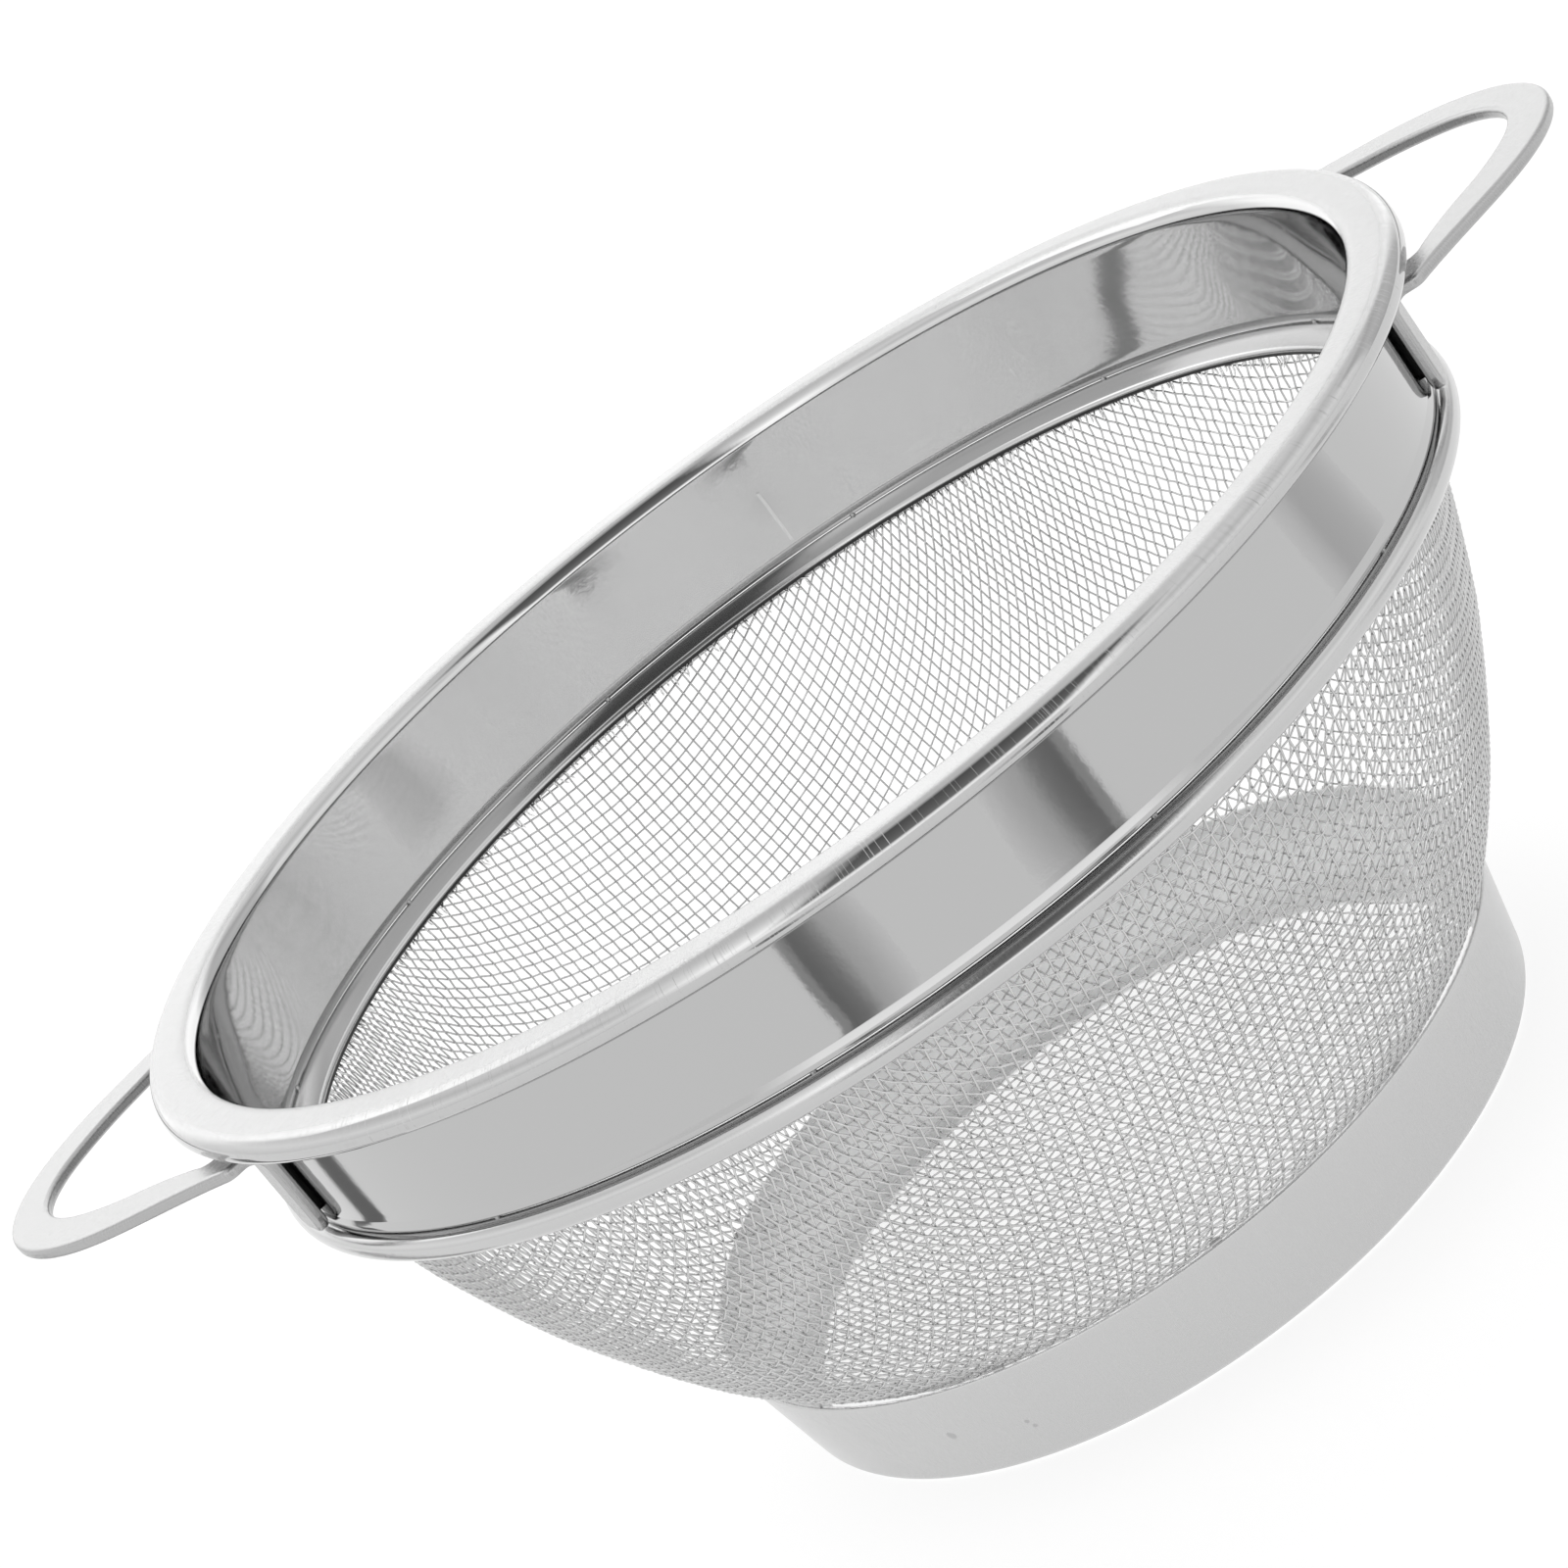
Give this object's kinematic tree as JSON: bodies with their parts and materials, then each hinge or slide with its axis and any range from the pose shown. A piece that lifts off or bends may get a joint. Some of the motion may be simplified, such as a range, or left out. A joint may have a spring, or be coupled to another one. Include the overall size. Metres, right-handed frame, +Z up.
{
  "type": "footed mesh strainer",
  "caption": "Round stainless-steel strainer: woven wire bowl bound into a flanged rim band, with two loop handles and a ring foot.",
  "frame": {"origin": "centre of the bowl's axis at the plane the foot stands on", "axes": "+Z up along the bowl's axis, +X through the right-hand handle, -Y towards the viewer"},
  "size_m": [0.279, 0.22, 0.109],
  "materials": {
    "rim_steel": "satin flange with fine radial grain, polished wall",
    "ring_steel": "polished",
    "mesh_wire": "bright drawn wire",
    "foot_steel": "satin",
    "handle_steel": "satin",
    "weld_steel": "as welded"
  },
  "bodies": {
    "root": {"rim_band": "rim_steel", "binding_ring": "ring_steel", "mesh_bowl": "mesh_wire", "foot_ring": "foot_steel", "handle_left": "handle_steel", "handle_right": "handle_steel", "handle_welds": "weld_steel", "ring_weld_nuggets": "weld_steel", "foot_weld_nuggets": "weld_steel", "band_seam_weld": "weld_steel"}
  },
  "joints": []
}
